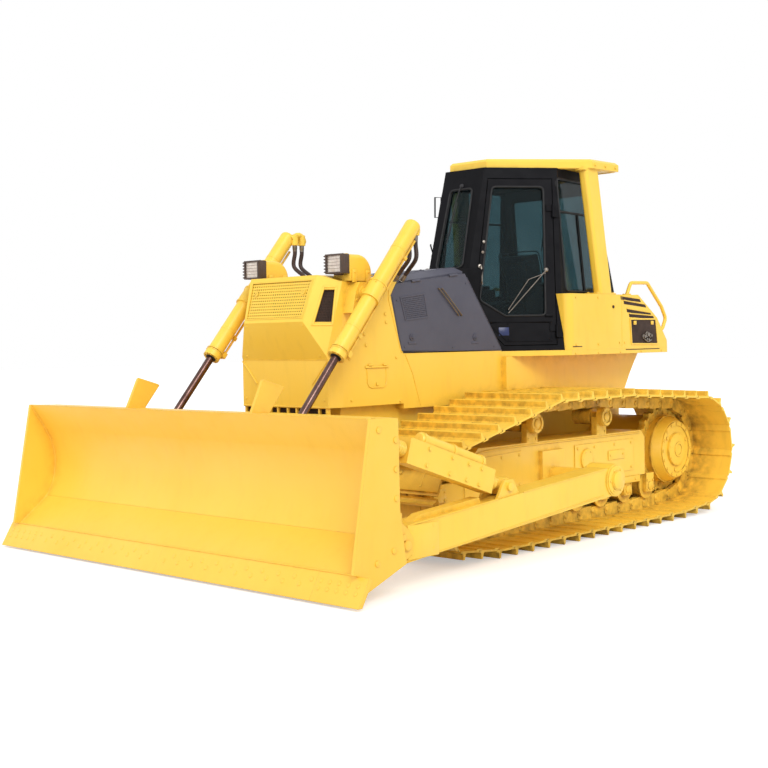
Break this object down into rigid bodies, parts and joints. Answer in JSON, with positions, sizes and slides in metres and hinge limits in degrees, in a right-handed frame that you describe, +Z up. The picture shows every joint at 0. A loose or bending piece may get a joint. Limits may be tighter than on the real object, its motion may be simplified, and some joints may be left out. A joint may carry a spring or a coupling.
{
  "type": "bulldozer",
  "caption": "Wide-track bulldozer with a lifting straight blade on two push arms, an enclosed cab under a rollover guard, and opening doors and engine covers.",
  "frame": {"origin": "on the ground, below the middle of the machine's overall length and width", "axes": "+X forwards to the blade, +Y to the machine's left, +Z up"},
  "size_m": [5.4804, 3.97, 3.16],
  "materials": {
    "machine_paint": "satin",
    "blade_paint": "satin",
    "track_paint": "satin",
    "cab_paint": "satin",
    "cover_paint": "satin",
    "cab_glass": "tinted",
    "trim": "grained",
    "rod_chrome": "polished",
    "hose_rubber": "matte",
    "engine_casting": "cast",
    "lamp": "moulded"
  },
  "bodies": {
    "chassis": {"track_left": "track_paint", "track_right": "track_paint", "track_frame_left": "machine_paint", "track_frame_right": "machine_paint", "track_rollers": "track_paint", "carrier_rollers": "track_paint", "idlers": "track_paint", "sprockets": "track_paint", "final_drives": "machine_paint", "main_frame": "machine_paint", "deck": "machine_paint", "hitch": "machine_paint", "radiator_mask": "machine_paint", "radiator_grille": "machine_paint", "hood": "cover_paint", "engine_block": "engine_casting", "dash_cowl": "cab_paint", "cab_frame": "cab_paint", "cab_glass": "cab_glass", "seat": "trim", "consoles": "trim", "fuel_tank": "machine_paint", "side_boxes": "machine_paint", "rollover_guard": "machine_paint", "handrails": "machine_paint", "lamp_hoods": "machine_paint", "headlamps": "lamp", "lift_hoses_left": "hose_rubber", "lift_hoses_right": "hose_rubber"},
    "blade": {"blade": "blade_paint", "cutting_edges": "blade_paint", "end_bits": "blade_paint", "push_arm_left": "machine_paint", "push_arm_right": "machine_paint", "blade_brace": "machine_paint", "tilt_cylinder": "machine_paint", "tilt_rod": "rod_chrome"},
    "lift_barrel_left": {"lift_barrel_left": "machine_paint"},
    "lift_rod_left": {"lift_rod_left": "rod_chrome"},
    "cab_door_left": {"cab_door_left": "cab_paint", "door_glass_left": "cab_glass"},
    "side_cover_left": {"side_cover_left": "cover_paint"},
    "lift_barrel_right": {"lift_barrel_right": "machine_paint"},
    "lift_rod_right": {"lift_rod_right": "rod_chrome"},
    "cab_door_right": {"cab_door_right": "cab_paint", "door_glass_right": "cab_glass"},
    "side_cover_right": {"side_cover_right": "cover_paint"}
  },
  "joints": [
    {"name": "blade_lift", "type": "hinge", "parent": "chassis", "child": "blade", "pos_m": [-0.28, 0, 0.495], "axis": [0, -1, 0], "range_deg": [-10.4, 21.5]},
    {"name": "lift_swing_left", "type": "hinge", "parent": "chassis", "child": "lift_barrel_left", "pos_m": [1.21, 0.7, 1.95], "axis": [0, -1, 0], "range_deg": [-11, 22.6], "deforming": ["lift_hoses_left"]},
    {"name": "lift_stroke_left", "type": "slide", "parent": "lift_barrel_left", "child": "lift_rod_left", "axis": [0.6522, 0, -0.7581], "range_m": [-0.77, 0.375]},
    {"name": "lift_swing_right", "type": "hinge", "parent": "chassis", "child": "lift_barrel_right", "pos_m": [1.21, -0.7, 1.95], "axis": [0, -1, 0], "range_deg": [-11, 22.6], "deforming": ["lift_hoses_right"]},
    {"name": "lift_stroke_right", "type": "slide", "parent": "lift_barrel_right", "child": "lift_rod_right", "axis": [0.6522, 0, -0.7581], "range_m": [-0.77, 0.375]},
    {"name": "door_hinge_left", "type": "hinge", "parent": "chassis", "child": "cab_door_left", "pos_m": [-1.00189, 0.76561, 1.5911], "axis": [-0.1244, -0.1144, 0.9856], "range_deg": [0, 100]},
    {"name": "door_hinge_right", "type": "hinge", "parent": "chassis", "child": "cab_door_right", "pos_m": [-1.00189, -0.76561, 1.5911], "axis": [0.1244, -0.1144, -0.9856], "range_deg": [0, 100]},
    {"name": "cover_hinge_left", "type": "hinge", "parent": "chassis", "child": "side_cover_left", "pos_m": [0.75, 0.5, 2.03], "axis": [0.9929, 0, -0.1189], "range_deg": [0, 85]},
    {"name": "cover_hinge_right", "type": "hinge", "parent": "chassis", "child": "side_cover_right", "pos_m": [0.75, -0.5, 2.03], "axis": [-0.9929, 0, 0.1189], "range_deg": [0, 85]}
  ],
  "couplings": [
    {"joint": "lift_swing_left", "follows": "blade_lift", "ratio": 1.04},
    {"joint": "lift_stroke_left", "follows": "blade_lift", "m_per_rad": -2.045},
    {"joint": "lift_swing_right", "follows": "blade_lift", "ratio": 1.04},
    {"joint": "lift_stroke_right", "follows": "blade_lift", "m_per_rad": -2.045}
  ]
}
